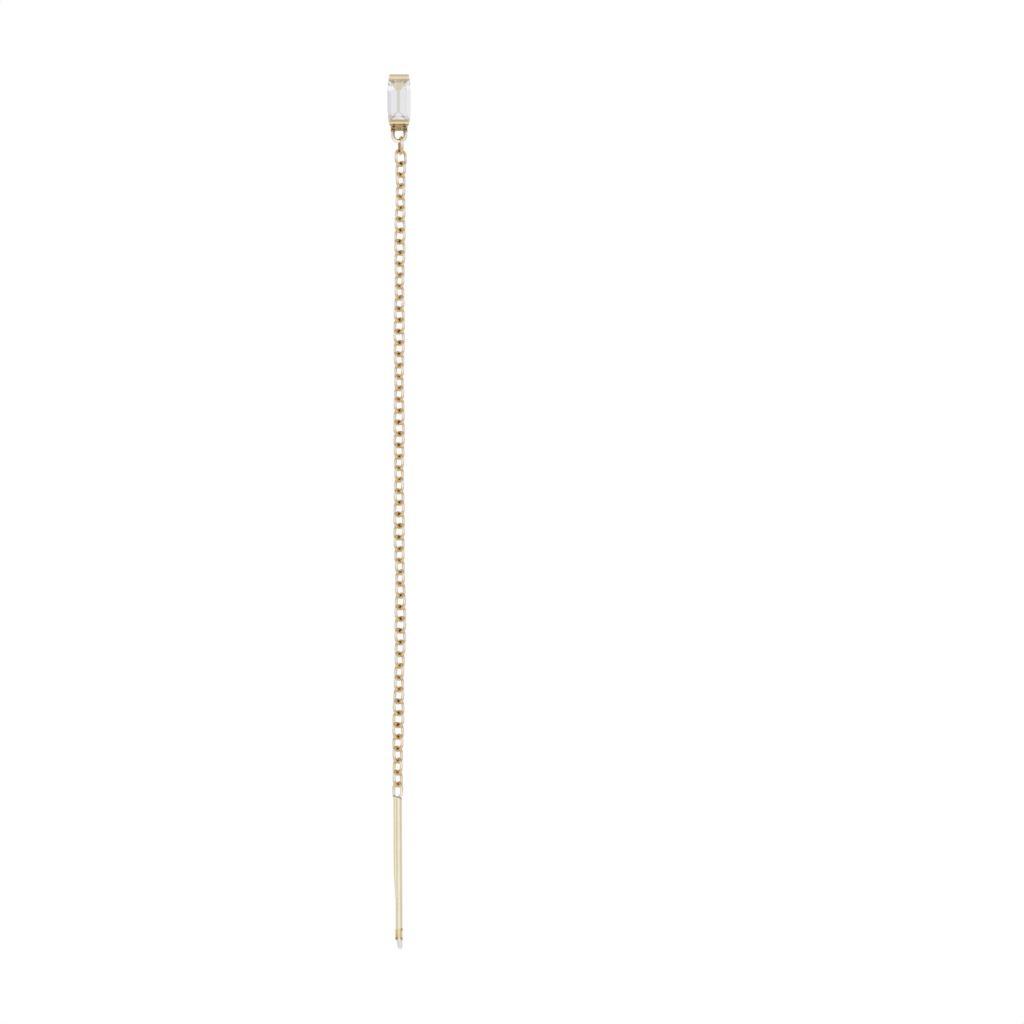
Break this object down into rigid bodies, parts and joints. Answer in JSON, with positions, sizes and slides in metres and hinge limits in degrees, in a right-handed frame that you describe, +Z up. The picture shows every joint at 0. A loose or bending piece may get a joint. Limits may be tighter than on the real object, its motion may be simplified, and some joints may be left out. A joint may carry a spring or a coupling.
{
  "type": "threader earring",
  "caption": "Drop earring with a slim stone in a two-bar setting, a fine cable chain and a thin bar that threads through a pierced ear.",
  "frame": {"origin": "middle of the bail's wire, where the upper ring hangs, which sits at the ear's piercing", "axes": "+Z up along the hanging earring, -Y out of the stone's face, +X to the right seen from the front"},
  "size_m": [0.002, 0.0022, 0.0755],
  "materials": {
    "setting_gold": "polished yellow gold",
    "clear_stone": "step-cut colourless stone",
    "chain_gold": "polished yellow gold wire",
    "bar_gold": "softly polished pale yellow gold"
  },
  "bodies": {
    "earring": {"setting": "setting_gold", "stone": "clear_stone", "upper_ring": "chain_gold", "lower_ring": "chain_gold", "chain": "chain_gold"},
    "bar": {"threader_bar": "bar_gold"}
  },
  "joints": [
    {"name": "bar_swing", "type": "hinge", "parent": "earring", "child": "bar", "pos_m": [-0.00011, 0, -0.05643], "axis": [0.6277, 0.7785, 0], "range_deg": [-110, 110]}
  ]
}
